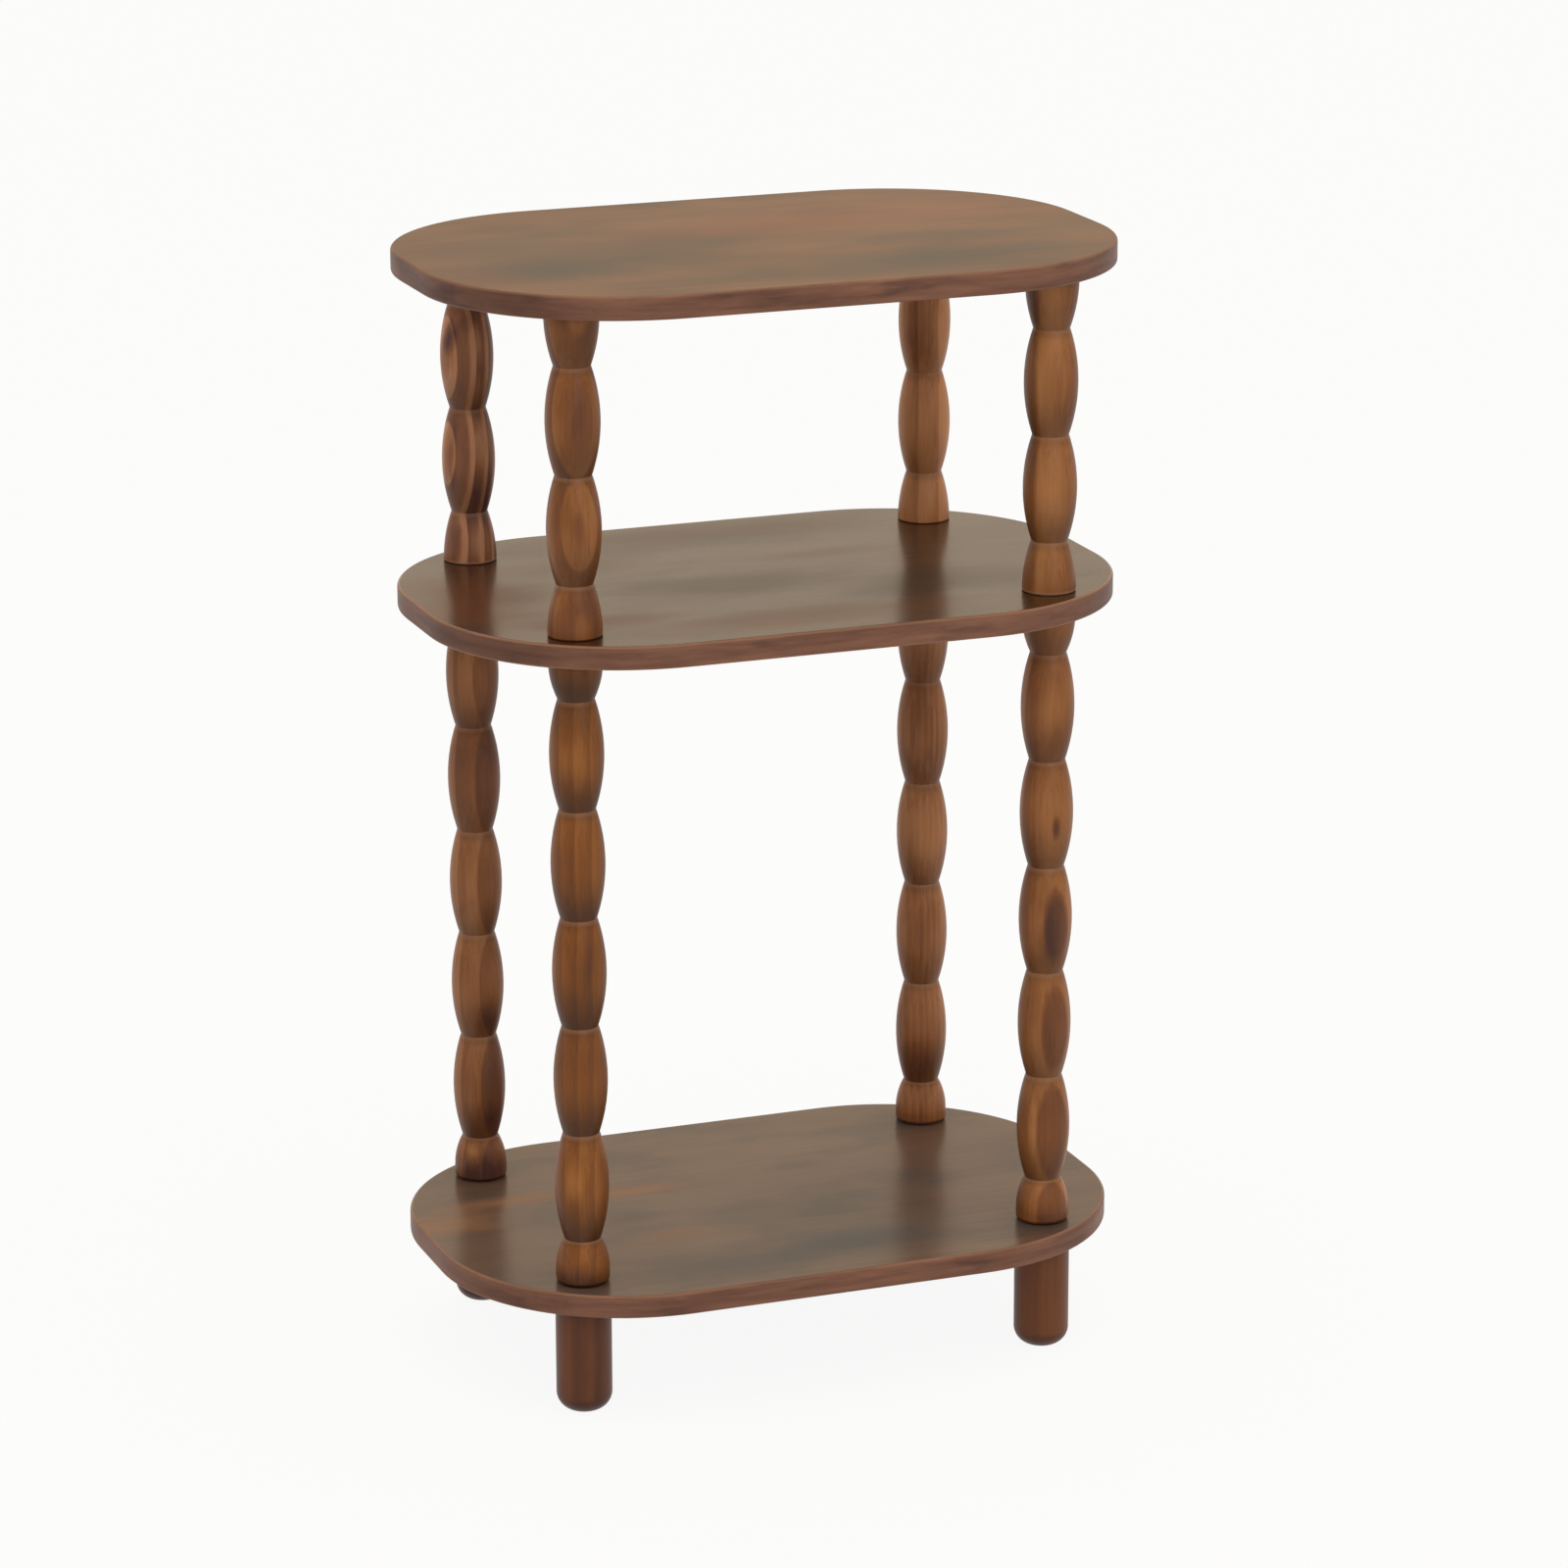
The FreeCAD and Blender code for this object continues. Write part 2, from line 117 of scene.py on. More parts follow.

# Knots and patches of darker wood, or with a minus of lighter wood: degrees round the piece, height above
# its lower end, reach round and reach up in millimetres, and strength. The wide dark patch at the lower end
# of each lower spindle is painted shade where it stands on the bottom shelf.
MARKS = {
    "front_left_upper_spindle": [(-98, 72, 3.5, 14, 0.2), (-92, 134, 6, 24, 0.15)],
    "back_left_upper_spindle": [
        (-152, 147, 6.5, 12, 0.8), (-104, 162, 6, 14, 0.45), (-80, 146, 4, 16, -0.3), (-165, 164, 6, 10, -0.2),
        (-140, 134, 4, 10, 0.2), (-165, 70, 8, 30, 0.35), (-149, 78, 6, 32, 0.3), (-80, 80, 6.5, 30, -0.5),
        (-52, 80, 4, 26, -0.3), (-97, 14, 6, 20, -0.45), (-70, 14, 7, 20, -0.3), (-84, 112, 6, 14, -0.2),
    ],
    "back_right_upper_spindle": [(-124, 132, 15, 34, 0.3), (-123, 40, 2.5, 22, -0.3), (-132, 14, 12, 20, -0.2)],
    "front_right_upper_spindle": [(-150, 185, 9, 20, 0.3), (-105, 66, 8, 30, -0.1)],
    # Its wide dark patch at the lower end is painted shade where it stands on the shelf.
    "front_left_lower_spindle": [
        (-111, 344, 14, 26, -0.2), (-124, 72, 7, 15, -0.25), (-111, 0, 34, 14, 0.4), (-85, 204, 6, 34, 0.12),
    ],
    # Its wide dark patch at the lower end is painted shade where it stands on the shelf.
    "front_right_lower_spindle": [
        (-91, 267, 3, 9, 0.45), (-106, 344, 9, 18, -0.15), (-111, 4, 30, 12, 0.15), (-96, 198, 11, 34, 0.38),
        (-138, 66, 3.5, 26, -0.25),
    ],
    # Its wide dark patch at the lower end is painted shade where it stands on the shelf.
    "back_left_lower_spindle": [
        (-111, 274, 22, 42, 0.15), (-111, 344, 20, 40, -0.1), (-111, 4, 34, 22, 0.5), (-66, 64, 10, 36, 0.15),
        (-115, 178, 8, 14, -0.25), (-126, 22, 7, 9, -0.35), (-105, 40, 30, 16, 0.25), (-88, 110, 14, 16, 0.25),
    ],
    # Its wide dark patch at the lower end is painted shade where it stands on the shelf.
    "back_right_lower_spindle": [
        (-111, 204, 20, 36, -0.1), (-111, 344, 20, 40, -0.05), (-111, 0, 34, 12, 0.3), (-111, 44, 30, 20, 0.3),
    ],
}

# Soft patches in the shelves' stain: centre and reach along X and Y in millimetres, and strength.
DARK_PATCHES = {
    "top_shelf": [
        (-160, -50, 100, 42, 0.9), (-120, 10, 150, 90, 0.45), (85, -92, 140, 34, 0.8), (-70, -112, 90, 26, 0.5),
    ],
    "middle_shelf": [
        (-20, -16, 90, 34, 0.9), (-160, -2, 40, 26, 0.7), (130, -60, 90, 34, 0.5), (-20, 112, 170, 46, 0.65),
        (70, -60, 60, 30, 0.4),
    ],
    "bottom_shelf": [
        (30, -92, 90, 34, 0.9), (10, -30, 110, 40, 0.55), (-120, 0, 60, 24, 0.5), (-40, -112, 130, 30, 0.75),
    ],
}
WARM_PATCHES = {
    "top_shelf": [(95, 50, 130, 46, 0.45), (-20, 40, 110, 40, 0.3), (-215, -60, 50, 60, 0.3)],
    "middle_shelf": [
        (-188, -10, 56, 90, 0.85), (-10, -112, 110, 26, 0.7), (-110, 60, 60, 26, 0.4), (-130, -80, 60, 20, 0.8),
        (60, 40, 60, 14, 0.35), (20, 120, 120, 30, 0.35),
    ],
    "bottom_shelf": [
        (-151, 48, 60, 13, 1.0), (-72, 38, 42, 9, 1.0), (-210, 20, 50, 22, 0.8), (-80, -50, 40, 14, 0.5),
    ],
}

# How much of the lacquer's sheen is lost in the dark and in the warm patches.
DARK_LOSS = 0.3
WARM_LOSS = 0.45

# How each shelf is finished: the lacquer on its upper face, that lacquer's roughness and how much sheen is
# left where the stain is mottled, how softly the stain's clouds run into one another, the tint of the stain
# and of its warm patches, how strongly wear and a painted highlight lighten the eased edges, and how bright
# the edge stays at either end, where painted shade darkens it.
SHELF_FINISH = {
    "top_shelf": {
        "lacquer": 0.2, "lacquer_roughness": 0.21, "dulled": 0.84, "soft": 1.0,
        "stain": (0.98, 1.19, 1.78), "warm_stain": (0.98, 1.17, 1.8), "wear_and_highlight": 0.35, "ends": 0.74,
    },
    "middle_shelf": {
        "lacquer": 0.84, "lacquer_roughness": 0.19, "dulled": 0.93, "soft": 0.3,
        "stain": (0.24, 0.19, 0.15), "warm_stain": (0.46, 0.33, 0.21), "wear_and_highlight": 0.8, "ends": 0.8,
    },
    "bottom_shelf": {
        "lacquer": 0.67, "lacquer_roughness": 0.22, "dulled": 0.86, "soft": 0.2,
        "stain": (0.67, 0.98, 2.2), "warm_stain": (0.92, 1.4, 2.2), "wear_and_highlight": 0.5, "ends": 1.0,
    },
}

# Linear colours of the dark colour that paints shade, with some gathered stain, into the turned pieces' necks
# and under their beads, of stain in pores, of the painted highlight on the beads' shoulders and lower rims,
# of flecks in the shelves' edges, and of the metal's tool lines.
STAIN_AND_SHADE = (0.03, 0.012, 0.006)
PORE_STAIN = (0.03, 0.015, 0.01)
PAINTED_HIGHLIGHT = (0.36, 0.2, 0.13)
EDGE_FLECK = (0.07, 0.036, 0.034)
TOOL_LINE = (0.25, 0.24, 0.23)

# Specular level of the turned wood's thin lacquer and of the shelves' bare wood, and the thin lacquer on
# the shelves' edges.
TURNED_SPECULAR = 0.22
BARE_SPECULAR = 0.1
EDGE_LACQUER = 0.12

# Turned wood: how strongly the parts of its figure show beside the rings and streaks, how far its roughness
# strays with the fibres, and its relief: a strength and a depth in metres. The last are the shares of green
# and of blue that a warmth of 1 takes from it.
RING_TONE_SHARE = 0.2
CLOUD_STRENGTH = 0.75
TURNED_FIBRE_STRENGTH = 0.25
TURNED_PORE_STRENGTH = 0.2
TURNED_SPREAD = 0.12
TURNED_RELIEF = (0.12, 0.0003)
WARMTH_TAKES = (0.1, 0.6)

# The same for the shelves' boards, with the mottle in their stain and the flecks in their edges.
LINE_STRENGTH = 0.4
BOARD_FIBRE_STRENGTH = 0.4
BOARD_PORE_STRENGTH = 0.12
MOTTLE_STRENGTH = 0.55
FLECK_STRENGTH = 0.5
BOARD_SPREAD = 0.08
BOARD_RELIEF = (0.08, 0.0002)

# The same for the studs and nuts, with their roughness where they are smoothest.
TOOL_LINE_STRENGTH = 0.35
STEEL_ROUGHNESS = 0.3
BRASS_ROUGHNESS = 0.25
METAL_SPREAD = 0.2
METAL_RELIEF = (0.1, 0.0001)

# Scales of the noises per metre along X, Y and Z, the last along the grain of turned wood. The middle part
# of the grain lines' scale is for each spacing of the lines, and the pores' scale is a share of the fibres'.
TURNED_FIBRES = (900.0, 900.0, 26.0)
BOARD_FIBRES = (18.0, 620.0, 300.0)
METAL_LINES = (60.0, 60.0, 2600.0)
PORE_SCALE = (0.45, 0.45, 0.45)
RING_WAVE_SCALE = (28.0, 28.0, 9.0)
CLOUD_SCALE = (35.0, 35.0, 14.0)
STREAK_SCALE = (330.0, 330.0, 9.0)
MARK_WAVE_SCALE = (90.0, 90.0, 40.0)
BAND_SCALE = (6.0, 14.0, 3.0)
LINE_SCALE = (9.0, 0.6, 3.0)
EDGE_SCALE = (16.0, 16.0, 160.0)
FLECK_SCALE = (24.0, 24.0, 90.0)

# How far the rims of a turned piece's marks stray, and what every waver is multiplied by, because a noise
# seldom strays a quarter from its middle.
MARK_WAVER = 0.2
WAVER_GAIN = 4.0

# How far from a patch's middle, in shares of its reach, none and all of it shows.
PATCH_RIM = (1.25, 0.1)

# Values of the noises between which something starts to show and shows in full, and the share of the eased
# edges' line of wear and painted highlight that shows everywhere.
PORES_SHOW = (0.6, 0.72)
MOTTLE_SHOWS = (0.46, 0.66)
MOTTLE_DULLS = (0.4, 0.65)
FLECKS_SHOW = (0.56, 0.72)
WEAR_HIGHLIGHT_SHOWS = (0.2, 0.6)
LEAST_WEAR_HIGHLIGHT = 0.4

# The shelves' clouds where they are crisp and where they are soft: the mottle's scale along X and Y and its
# roughness, and the scale along Y and the reach of the waver in the patches' rims. The scales along the
# other axes are the same in both.
CRISP_CLOUDS = (13.0, 28.0, 0.6, 45.0, 0.35)
SOFT_CLOUDS = (9.0, 15.0, 0.45, 18.0, 0.2)
MOTTLE_SCALE_Z = 3.0
PATCH_WAVE_X = 14.0
PATCH_WAVE_Z = 5.0

# Radius of the turned pieces where painted shade, with some gathered stain, darkens their necks and where a
# painted highlight lightens their shoulders, and height of their rims that a painted highlight makes paler,
# from none to all, and radius at which their marks lie, in metres.
NECK_RADIUS = (0.0138, 0.0114)
SHOULDER_RADIUS = (0.0126, 0.0117)
RIM_HEIGHT = (0.0026, 0.0012)
MARK_RADIUS = 0.0165

# Upright part of the surface's normal, from none to all: a bead's underside, darkened by painted shade, and
# the upper part of a bead, lit by a painted highlight, and a board's flat face, the two sides of its eased
# edge's line of wear and painted highlight, its lacquered part and its underside.
BEAD_UNDERSIDE = (0.02, -0.31)
BEAD_SHOULDER = (0.1, 0.25)
FLAT_FACE = (0.94, 0.995)
WEAR_HIGHLIGHT_BELOW = (0.2, 0.6)
WEAR_HIGHLIGHT_ABOVE = (0.998, 0.96)
LACQUERED = (0.6, 0.95)
BOARD_UNDERSIDE = (-0.5, -0.9)

# Between which distances from the middle, in metres, painted shade darkens the shelves' edges towards either
# end.
EDGE_END_SHADE = (0.13, 0.2)

# Floor, in shares of its reach: the inner ring, the rim's height and the radius of the cove below it. The
# last two are the steps of the cove and the sides of the round.
FLOOR_RING = 0.25
FLOOR_RIM = 0.18
COVE_RADIUS = 0.06
COVE_STEPS = 6
FLOOR_SIDES = 96

# Share of the surround's strength at the horizon and overhead, and the upright parts of the view's
# direction between which it grows.
SKY_SHARES = (0.7, 1.2)
SKY_RISE = (0.0, 0.9)

# Lamps: size of their square, place and aim, in metres.
FRONT_LAMP = {"size": 1.6, "place": (0.35, -2.9, 1.5), "aim": (0.0, 0.0, 0.35)}
TOP_LAMP = {"size": 1.4, "place": (0.0, -0.3, 2.7), "aim": (0.0, 0.0, 0.7)}

# Camera that gives the photograph's view: its angles in radians, its distance from the point that it aims
# at, how far that point lies across and up the picture from the table's middle, in metres, and its lens and
# sensor in millimetres.
CAMERA = {
    "azimuth": -0.3622, "elevation": 0.2787, "roll": -0.0021, "distance": 3.6989, "middle": (0.0, 0.0, 0.35),
    "across": 0.01724, "up": 0.01573, "lens": 132.19, "sensor": 36.0, "clip_end": 100.0,
}


def tone(red, green, blue):
    """Linear colour from screen values of 0 to 255."""
    levels = [value / 255 for value in (red, green, blue)]
    return tuple(((level + 0.055) / 1.055) ** 2.4 for level in levels)


def colour_setting(name, description, default):
    """Colour property of the panel."""
    return bpy.props.FloatVectorProperty(
        name=name, description=description, subtype="COLOR", size=3, min=0, max=1, default=default
    )


def share_setting(name, description, default):
    """Property of the panel from 0 to 1."""
    return bpy.props.FloatProperty(
        name=name, description=description, subtype="FACTOR", min=0, max=1, default=default
    )


def power_setting(name, description, default):
    """Lamp's power in the panel."""
    return bpy.props.FloatProperty(
        name=name, description=description, subtype="POWER", min=0, max=500, default=default
    )


def group_setting(name, description, kind):
    """Property of the panel that holds a group of settings."""
    return bpy.props.PointerProperty(name=name, description=description, type=kind)


class TurnedWoodSettings(bpy.types.PropertyGroup):
    """Finish of the spindles and feet"""

    dark: colour_setting("Dark wood", "Stained wood in the darkest part of a ring", tone(76, 46, 36))
    middle: colour_setting("Middle wood", "Stained wood between the rings' ends", tone(125, 76, 40))
    light: colour_setting("Light wood", "Stained wood in the lightest part of a ring", tone(166, 112, 68))
    foot_dark: colour_setting("Dark foot", "Darkest stain of the feet", tone(72, 40, 28))
    foot_light: colour_setting("Light foot", "Lightest stain of the feet", tone(112, 66, 40))
    # Painted shade, with some stain gathered there, in the necks
    neck_stain_and_shade: share_setting("Neck stain and shade", "How much darker the necks are painted, as shade and gathered stain", 0.35)
    # Painted shade under the beads, with some gathered stain
    pooled_stain_and_shade: share_setting("Pooled stain and shade", "How much darker the beads' undersides are painted, as shade and gathered stain", 0.5)
    # Painted highlight on the beads' shoulders
    shoulder_highlight: share_setting("Shoulder highlight", "How much lighter the beads are just below a neck", 0.28)
    roughness: share_setting("Roughness", "Roughness of the lacquer", 0.4)


class ShelfWoodSettings(bpy.types.PropertyGroup):
    """Finish of the shelves"""

    dark: colour_setting("Dark stain", "Darkest brown of the boards", tone(98, 62, 34))
    light: colour_setting("Light stain", "Lightest brown of the boards", tone(130, 84, 45))
    cloud: colour_setting("Cloud", "Cool dark patches in the stain", tone(80, 66, 45))
    warm: colour_setting("Warm patch", "Warm patches in the stain", tone(142, 84, 48))
    edge_dark: colour_setting("Dark edge", "Darkest brown of the boards' edges", tone(86, 58, 49))
    edge_light: colour_setting("Light edge", "Lightest brown of the boards' edges", tone(138, 97, 80))
    roughness: share_setting("Roughness", "Roughness of the bare wood", 0.5)
    # Wear and a painted highlight along the eased edges
    arris_wear_and_highlight: colour_setting("Eased edge", "Rubbed wood and painted highlight along the eased edges", tone(146, 106, 84))
    grain_spacing: bpy.props.FloatProperty(
        name="Grain spacing",
        description="Distance between the boards' grain lines",
        unit="LENGTH",
        min=0.0005,
        max=0.02,
        default=0.0025,
    )


class HardwareSettings(bpy.types.PropertyGroup):
    """Finish of the studs and insert nuts"""

    steel: colour_setting("Steel", "Zinc-plated steel of the studs", tone(168, 168, 172))
    brass: colour_setting("Brass", "Brass of the insert nuts", tone(196, 162, 98))


class StageSettings(bpy.types.PropertyGroup):
    """Floor, lamps and camera"""

    floor: colour_setting("Floor", "Colour of the floor", tone(214, 214, 214))
    floor_reach: bpy.props.FloatProperty(
        name="Floor reach", description="Radius of the round floor", unit="LENGTH", min=5, max=60, default=20
    )
    shadow: share_setting("Shadow", "How much of the shadow on the floor shows", 0.08)
    sky: colour_setting("Surround colour", "Colour of the light from all round", tone(255, 247, 231))
    gleam: colour_setting("Gleam colour", "Colour of the surround in reflections", tone(255, 230, 198))
    surround: bpy.props.FloatProperty(
        name="Surround", description="Strength of the light from all round", min=0, max=2, default=0.95
    )
    front: power_setting("Front lamp", "Power of the large front lamp", 12)
    top: power_setting("Top lamp", "Power of the lamp overhead", 6)


class StorageTableSettings(bpy.types.PropertyGroup):
    """All settings of the table"""

    turned: group_setting("Turned wood", "Spindles and feet", TurnedWoodSettings)
    shelf: group_setting("Shelf wood", "Shelves", ShelfWoodSettings)
    hardware: group_setting("Hardware", "Studs and nuts", HardwareSettings)
    stage: group_setting("Stage", "Floor, lamps and camera", StageSettings)


class NodeTree:
    """Adds nodes to one tree, in rows from left to right."""

    COLUMN_STEP = 200
    ROW_STEP = 220
    COLUMNS = 10

    def __init__(self, tree):
        self.tree = tree
        self.count = 0

    def add(self, kind, inputs=None, **settings):
        """New node with its settings, and its inputs by name or number, as values or as links."""
        node = self.tree.nodes.new(kind)
        row, column = divmod(self.count, self.COLUMNS)
        node.location = (column * self.COLUMN_STEP, -row * self.ROW_STEP)
        self.count += 1
        for name, value in settings.items():
            setattr(node, name, value)
        for name, value in (inputs or {}).items():
            self.feed(node.inputs[name], value)
        return node

    def feed(self, socket, value):
        """Give an input a value, or link an output to it."""
        if isinstance(value, bpy.types.NodeSocket):
            self.tree.links.new(value, socket)
        elif socket.type == "RGBA" and len(value) == 3:
            socket.default_value = (*value, 1)
        else:
            socket.default_value = value

    def math(self, operation, *values, clamp=False):
        """Output of a Math node."""
        return self.add(
            "ShaderNodeMath", dict(enumerate(values)), operation=operation, use_clamp=clamp
        ).outputs[0]

    def vector_math(self, operation, *values):
        """First output of a Vector Math node, or its length."""
        node = self.add("ShaderNodeVectorMath", dict(enumerate(values)), operation=operation)
        return node.outputs["Value" if operation == "LENGTH" else "Vector"]

    def scaled(self, vector, scale):
        """Vector times a colour's or a scale's three parts."""
        return self.vector_math("MULTIPLY", vector, scale)

    def place(self):
        """Point of the surface in the frame, in metres."""
        return self.add("ShaderNodeTexCoord").outputs["Object"]

    def split(self, vector):
        """X, Y and Z of a vector."""
        return self.add("ShaderNodeSeparateXYZ", {0: vector}).outputs

    def facing(self):
        """Upright part of the surface's normal."""
        return self.split(self.add("ShaderNodeNewGeometry").outputs["Normal"])[2]

    def reach(self, across, along):
        """Length of a step across and along."""
        squares = [self.math("MULTIPLY", step, step) for step in (across, along)]
        return self.math("SQRT", self.math("ADD", *squares))

    def sway(self, value, part, strength):
        """Value moved by how far a part of 0 to 1 is from its middle."""
        return self.math("MULTIPLY_ADD", self.math("SUBTRACT", part, 0.5), strength, value)

    def fade(self, value, start, end, low=0.0, high=1.0):
        """Smooth step from low at start to high at end."""
        inputs = {"Value": value, "From Min": start, "From Max": end, "To Min": low, "To Max": high}
        return self.add("ShaderNodeMapRange", inputs, interpolation_type="SMOOTHSTEP").outputs["Result"]

    def mix(self, factor, first, second):
        """Colour output of a Mix node."""
        inputs = {0: factor, 6: first, 7: second}
        return self.add("ShaderNodeMix", inputs, data_type="RGBA", clamp_factor=True).outputs[2]

    def noise(self, vector, seed, detail=2.0, roughness=0.5):
        """Value of a 4D noise of scale 1."""
        inputs = {"Vector": vector, "W": seed, "Scale": 1.0, "Detail": detail, "Roughness": roughness}
        return self.add("ShaderNodeTexNoise", inputs, noise_dimensions="4D").outputs[0]

    def ramp(self, value, stops):
        """Colour ramp of (place, colour) stops."""
        node = self.add("ShaderNodeValToRGB", {"Fac": value})
        elements = node.color_ramp.elements
        while len(elements) < len(stops):
            elements.new(0.5)
        for element, (place, shade) in zip(elements, stops):
            element.position = place
            element.color = (*shade, 1)
        return node.outputs["Color"]

    def group(self, effect, inputs):
        """Node that holds a shared effect."""
        return self.add("ShaderNodeGroup", inputs, node_tree=effect)


def new_effect(name, inputs, outputs):
    """Empty shader node group: a dict of its inputs' defaults and a list of its outputs."""
    effect = bpy.data.node_groups.new(name, "ShaderNodeTree")
    for label, default in inputs.items():
        kind = "NodeSocketVector" if isinstance(default, tuple) else "NodeSocketFloat"
        socket = effect.interface.new_socket(label, in_out="INPUT", socket_type=kind)
        socket.default_value = default
    for label in outputs:
        effect.interface.new_socket(label, in_out="OUTPUT", socket_type="NodeSocketFloat")
    nodes = NodeTree(effect)
    return effect, nodes, nodes.add("NodeGroupInput").outputs


def shared(name, build):
    """Effect of that name, built on first use."""
    return bpy.data.node_groups.get(name) or build(name)


def fibre_effect(name):
    """Fine fibres and open pores, drawn out along the grain by the Stretch scale."""
    effect, nodes, given = new_effect(name, {"Stretch": TURNED_FIBRES, "Seed": 0.0}, ["Fibre", "Pore"])
    drawn = nodes.scaled(nodes.place(), given["Stretch"])
    fibre = nodes.noise(drawn, given["Seed"], detail=3.0, roughness=0.6)
    pore = nodes.noise(nodes.scaled(drawn, PORE_SCALE), nodes.math("ADD", given["Seed"], PORE_SEED))
    nodes.add("NodeGroupOutput", {"Fibre": fibre, "Pore": nodes.fade(pore, *PORES_SHOW)})
    return effect


def ring_effect(name):
    """Growth rings of a turned post, as cut from a tree whose heart lies beside it."""
    defaults = {
        "Axis X": 0.0,
        "Axis Y": 0.0,
        "Base Height": 0.0,
        "Heart Angle": 0.0,
        "Heart Distance": 0.08,
        "Ring Spacing": 0.008,
        "Phase": 0.0,
        "Lean": 0.0,
        "Sweep": 0.0,
        "Waver": 0.002,
        "Edge": 0.1,
        "Fall": 1.0,
        "Flat": 0.0,
        "Seed": 0.0,
    }
    effect, nodes, given = new_effect(
        name, defaults, ["Ring", "Ring Tone", "Radius", "Cloud", "Streak", "Underside", "Shoulder", "Rim Highlight"]
    )
    place = nodes.place()
    x, y, z = nodes.split(place)
    x = nodes.math("SUBTRACT", x, given["Axis X"])
    y = nodes.math("SUBTRACT", y, given["Axis Y"])
    height = nodes.math("SUBTRACT", z, given["Base Height"])
    cosine = nodes.math("COSINE", given["Heart Angle"])
    sine = nodes.math("SINE", given["Heart Angle"])
    towards = nodes.math("ADD", nodes.math("MULTIPLY", x, cosine), nodes.math("MULTIPLY", y, sine))
    across = nodes.math(
        "SUBTRACT", nodes.math("MULTIPLY", y, cosine), nodes.math("MULTIPLY", x, sine)
    )
    lean = nodes.math("MULTIPLY_ADD", given["Sweep"], height, given["Lean"])
    shift = nodes.math("MULTIPLY_ADD", lean, height, given["Heart Distance"])
    ring_radius = nodes.reach(nodes.math("SUBTRACT", shift, towards), across)
    wave = nodes.noise(nodes.scaled(place, RING_WAVE_SCALE), given["Seed"])
    radius = nodes.sway(ring_radius, wave, nodes.math("MULTIPLY", given["Waver"], WAVER_GAIN))
    radius = nodes.math("SUBTRACT", radius, given["Heart Distance"])
    ring = nodes.math("ADD", nodes.math("DIVIDE", radius, given["Ring Spacing"]), given["Phase"])
    part = nodes.math("FRACT", ring)
    turn = nodes.math("SUBTRACT", 1.0, given["Edge"])
    fading = nodes.math("SUBTRACT", 1.0, nodes.math("DIVIDE", part, turn), clamp=True)
    fading = nodes.math("MULTIPLY", fading, nodes.math("ADD", given["Flat"], 1.0), clamp=True)
    fading = nodes.math("POWER", fading, given["Fall"])
    rising = nodes.fade(part, turn, 1.0)
    profile = nodes.math("MAXIMUM", fading, rising)
    number = nodes.math("ADD", nodes.math("FLOOR", ring), nodes.math("MULTIPLY", given["Seed"], RING_TONE_SEED))
    ring_tone = nodes.add("ShaderNodeTexWhiteNoise", {"W": number}, noise_dimensions="1D").outputs[0]
    own = nodes.reach(x, y)
    cloud = nodes.noise(nodes.scaled(place, CLOUD_SCALE), nodes.math("ADD", given["Seed"], CLOUD_SEED))
    streak_seed = nodes.math("ADD", given["Seed"], STREAK_SEED)
    streak = nodes.noise(nodes.scaled(place, STREAK_SCALE), streak_seed, detail=3.0)
    facing = nodes.facing()
    narrow = nodes.fade(own, *SHOULDER_RADIUS)
    nodes.add("NodeGroupOutput", {
        "Ring": profile,
        "Ring Tone": ring_tone,
        "Radius": own,
        "Cloud": cloud,
        "Streak": streak,
        "Underside": nodes.fade(facing, *BEAD_UNDERSIDE),
        "Shoulder": nodes.math("MULTIPLY", narrow, nodes.fade(facing, *BEAD_SHOULDER)),
        "Rim Highlight": nodes.fade(height, *RIM_HEIGHT),
    })
    return effect


def patch_effect(name):
    """Soft oval patch about a point, with a wavering edge."""
    defaults = {
        "Centre": (0.0, 0.0, 0.0),
        "Reach": (0.05, 0.03, 1.0),
        "Wave Scale": (14.0, 45.0, 5.0),
        "Waver": 0.35,
        "Seed": 0.0,
    }
    effect, nodes, given = new_effect(name, defaults, ["Patch"])
    place = nodes.place()
    off = nodes.vector_math("DIVIDE", nodes.vector_math("SUBTRACT", place, given["Centre"]), given["Reach"])
    wave = nodes.noise(nodes.scaled(place, given["Wave Scale"]), given["Seed"], detail=4.0)
    waver = nodes.math("MULTIPLY", given["Waver"], WAVER_GAIN)
    length = nodes.sway(nodes.vector_math("LENGTH", off), wave, waver)
    nodes.add("NodeGroupOutput", {"Patch": nodes.fade(length, *PATCH_RIM)})
    return effect


def new_material(name):
    """Material whose nodes are built from nothing, and its Principled shader."""
    material = bpy.data.materials.new(name)
    material.use_nodes = True
    material.node_tree.nodes.clear()
    nodes = NodeTree(material.node_tree)
    shader = nodes.add("ShaderNodeBsdfPrincipled")
    shader.location = (2300, 0)
    output = nodes.add("ShaderNodeOutputMaterial", {"Surface": shader.outputs[0]})
    output.location = (2600, 0)
    return material, nodes, shader


def finish_surface(nodes, shader, shade, roughness, height, relief):
    """Feed a Principled shader its colour, its roughness and a relief of a strength and a depth."""
    strength, depth = relief
    bump = nodes.add("ShaderNodeBump", {"Strength": strength, "Distance": depth, "Height": height})
    nodes.feed(shader.inputs["Base Color"], shade)
    nodes.feed(shader.inputs["Roughness"], roughness)
    nodes.feed(shader.inputs["Normal"], bump.outputs[0])


def millimetres(*lengths):
    """Metres that are given in millimetres."""
    return tuple(length / 1000 for length in lengths)


def between(first, second, share):
    """Values that lie a share of the way from the first to the second."""
    return tuple(start + (end - start) * share for start, end in zip(first, second))


def dress(node, material):
    """Give a CAD node one material."""
    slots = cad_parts[node].material_slots
    if not slots:
        raise RuntimeError(f"{node} has no material slot")
    for slot in slots:
        slot.link = "OBJECT"
        slot.material = material


